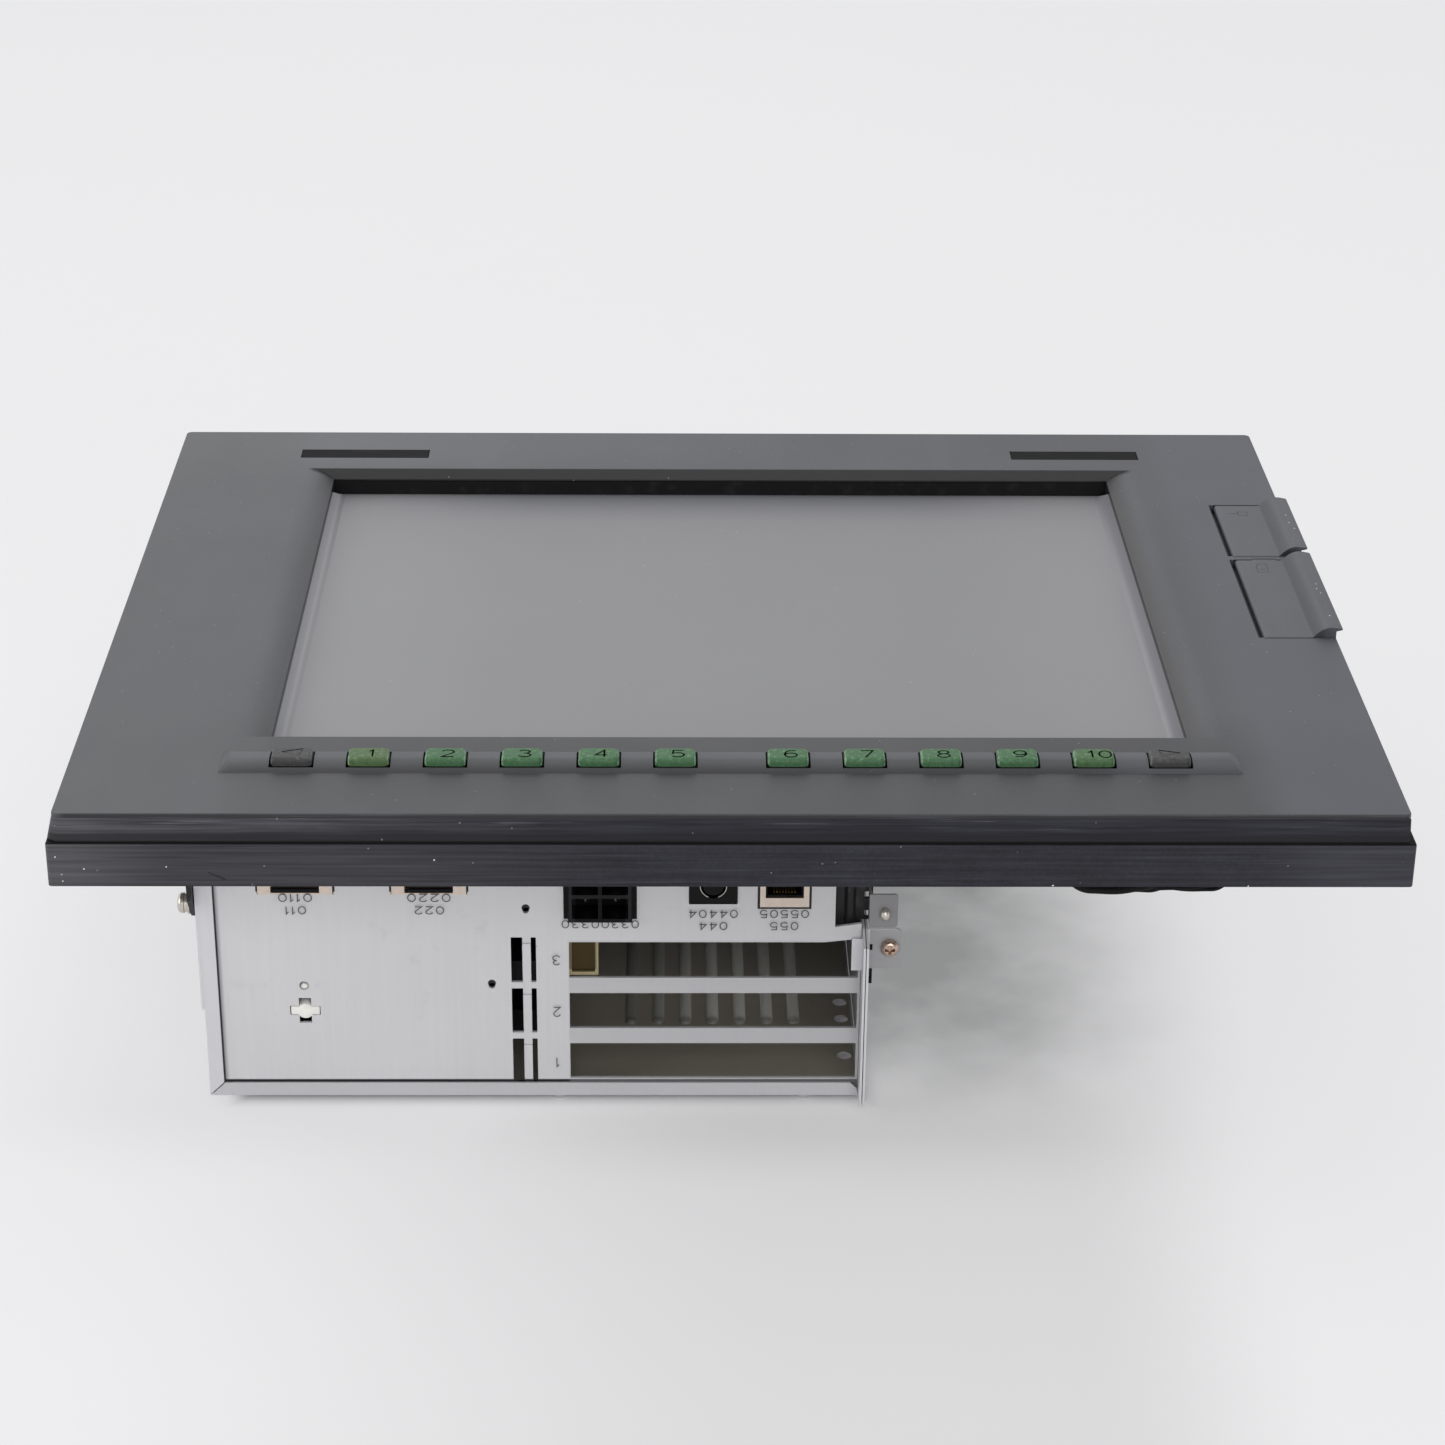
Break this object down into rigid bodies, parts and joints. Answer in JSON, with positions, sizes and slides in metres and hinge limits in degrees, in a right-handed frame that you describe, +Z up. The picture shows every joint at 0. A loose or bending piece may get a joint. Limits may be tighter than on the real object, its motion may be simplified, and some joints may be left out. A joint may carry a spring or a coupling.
{
  "type": "machine tool operator panel",
  "caption": "Flush operator panel with touch screen, soft key bar and hinged port covers, on a rear computer case with card slots and connectors",
  "frame": {"origin": "on the surface the panel lies on, under the middle of its outline", "axes": "X runs to the right along the key bar, Y away from the operator's edge, Z up out of the screen"},
  "size_m": [0.4444, 0.3464, 0.1446],
  "materials": {
    "aluminium": "plain machined aluminium",
    "amber": "dark amber plastic",
    "black_film": "bare black film",
    "black_plastic": "moulded black plastic",
    "black_rubber": "matt black rubber",
    "black_steel": "black coated steel",
    "board": "green circuit board",
    "bright_steel": "plain bright steel",
    "frame_paint": "matt dark grey paint",
    "green_key": "matt green key cap",
    "grey_key": "matt grey key cap",
    "grey_paint": "worn semi-matt grey paint",
    "matte_glass": "matt grey touch surface",
    "yellow_wrap": "yellow wrapped cell",
    "zinc_sheet": "light grey zinc plated sheet"
  },
  "bodies": {
    "panel": {"backlight_inverter": "board", "backup_battery": "yellow_wrap", "cable_bundle": "black_rubber", "cable_grommet_left": "black_rubber", "cable_grommet_right": "black_rubber", "card_cover_pin": "bright_steel", "card_socket": "black_plastic", "case_tab": "zinc_sheet", "case_tab_screw": "bright_steel", "connector_plate": "zinc_sheet", "disk_unit": "aluminium", "fan_frame": "black_plastic", "front_bezel": "grey_paint", "heat_sink": "aluminium", "key_board": "board", "key_mat": "black_rubber", "keyboard_connector": "black_plastic", "label_plate_left": "black_film", "label_plate_right": "black_film", "lcd_module": "black_steel", "lead_plate": "black_steel", "mainboard": "board", "mounting_frame": "frame_paint", "network_connector": "bright_steel", "panel_seal": "black_rubber", "port_housing": "black_plastic", "power_connector": "black_plastic", "rear_case": "zinc_sheet", "rear_cover": "zinc_sheet", "rear_tray": "zinc_sheet", "riser_board": "board", "serial_connector_left": "bright_steel", "serial_connector_right": "bright_steel", "side_bracket": "black_steel", "side_screw": "bright_steel", "side_strap": "zinc_sheet", "slot_bracket": "zinc_sheet", "slot_bracket_screw": "bright_steel", "slot_guide": "amber", "thin_lead": "black_rubber", "touch_glass": "matte_glass", "usb_cover_pin": "bright_steel", "usb_socket": "bright_steel", "window_gasket": "black_rubber"},
    "key_01": {"key_01": "grey_key"},
    "key_02": {"key_02": "green_key"},
    "key_03": {"key_03": "green_key"},
    "key_04": {"key_04": "green_key"},
    "key_05": {"key_05": "green_key"},
    "key_06": {"key_06": "green_key"},
    "key_07": {"key_07": "green_key"},
    "key_08": {"key_08": "green_key"},
    "key_09": {"key_09": "green_key"},
    "key_10": {"key_10": "green_key"},
    "key_11": {"key_11": "green_key"},
    "key_12": {"key_12": "grey_key"},
    "usb_cover": {"usb_cover": "grey_paint"},
    "card_cover": {"card_cover": "grey_paint"},
    "card_eject_button": {"card_eject_button": "black_plastic"},
    "fan_rotor": {"fan_rotor": "black_plastic"}
  },
  "joints": [
    {"name": "key_01_press", "type": "slide", "parent": "panel", "child": "key_01", "axis": [0, 0, -1], "range_m": [0, 0.0018], "stiffness_N_per_m": 500, "springref_m": -0.0006},
    {"name": "key_02_press", "type": "slide", "parent": "panel", "child": "key_02", "axis": [0, 0, -1], "range_m": [0, 0.0018], "stiffness_N_per_m": 500, "springref_m": -0.0006},
    {"name": "key_03_press", "type": "slide", "parent": "panel", "child": "key_03", "axis": [0, 0, -1], "range_m": [0, 0.0018], "stiffness_N_per_m": 500, "springref_m": -0.0006},
    {"name": "key_04_press", "type": "slide", "parent": "panel", "child": "key_04", "axis": [0, 0, -1], "range_m": [0, 0.0018], "stiffness_N_per_m": 500, "springref_m": -0.0006},
    {"name": "key_05_press", "type": "slide", "parent": "panel", "child": "key_05", "axis": [0, 0, -1], "range_m": [0, 0.0018], "stiffness_N_per_m": 500, "springref_m": -0.0006},
    {"name": "key_06_press", "type": "slide", "parent": "panel", "child": "key_06", "axis": [0, 0, -1], "range_m": [0, 0.0018], "stiffness_N_per_m": 500, "springref_m": -0.0006},
    {"name": "key_07_press", "type": "slide", "parent": "panel", "child": "key_07", "axis": [0, 0, -1], "range_m": [0, 0.0018], "stiffness_N_per_m": 500, "springref_m": -0.0006},
    {"name": "key_08_press", "type": "slide", "parent": "panel", "child": "key_08", "axis": [0, 0, -1], "range_m": [0, 0.0018], "stiffness_N_per_m": 500, "springref_m": -0.0006},
    {"name": "key_09_press", "type": "slide", "parent": "panel", "child": "key_09", "axis": [0, 0, -1], "range_m": [0, 0.0018], "stiffness_N_per_m": 500, "springref_m": -0.0006},
    {"name": "key_10_press", "type": "slide", "parent": "panel", "child": "key_10", "axis": [0, 0, -1], "range_m": [0, 0.0018], "stiffness_N_per_m": 500, "springref_m": -0.0006},
    {"name": "key_11_press", "type": "slide", "parent": "panel", "child": "key_11", "axis": [0, 0, -1], "range_m": [0, 0.0018], "stiffness_N_per_m": 500, "springref_m": -0.0006},
    {"name": "key_12_press", "type": "slide", "parent": "panel", "child": "key_12", "axis": [0, 0, -1], "range_m": [0, 0.0018], "stiffness_N_per_m": 500, "springref_m": -0.0006},
    {"name": "usb_cover_hinge", "type": "hinge", "parent": "panel", "child": "usb_cover", "pos_m": [0.1953, 0.0677, 0.1383], "axis": [0, -1, 0], "range_deg": [0, 100]},
    {"name": "card_cover_hinge", "type": "hinge", "parent": "panel", "child": "card_cover", "pos_m": [0.1953, 0.0031, 0.1383], "axis": [0, -1, 0], "range_deg": [0, 100]},
    {"name": "card_eject_press", "type": "slide", "parent": "panel", "child": "card_eject_button", "axis": [0, 0, -1], "range_m": [0, 0.003], "stiffness_N_per_m": 300, "springref_m": -0.0005},
    {"name": "fan_spin", "type": "hinge", "parent": "panel", "child": "fan_rotor", "pos_m": [-0.1112, -0.013, 0.0636], "axis": [0, 0, 1], "continuous": true}
  ]
}
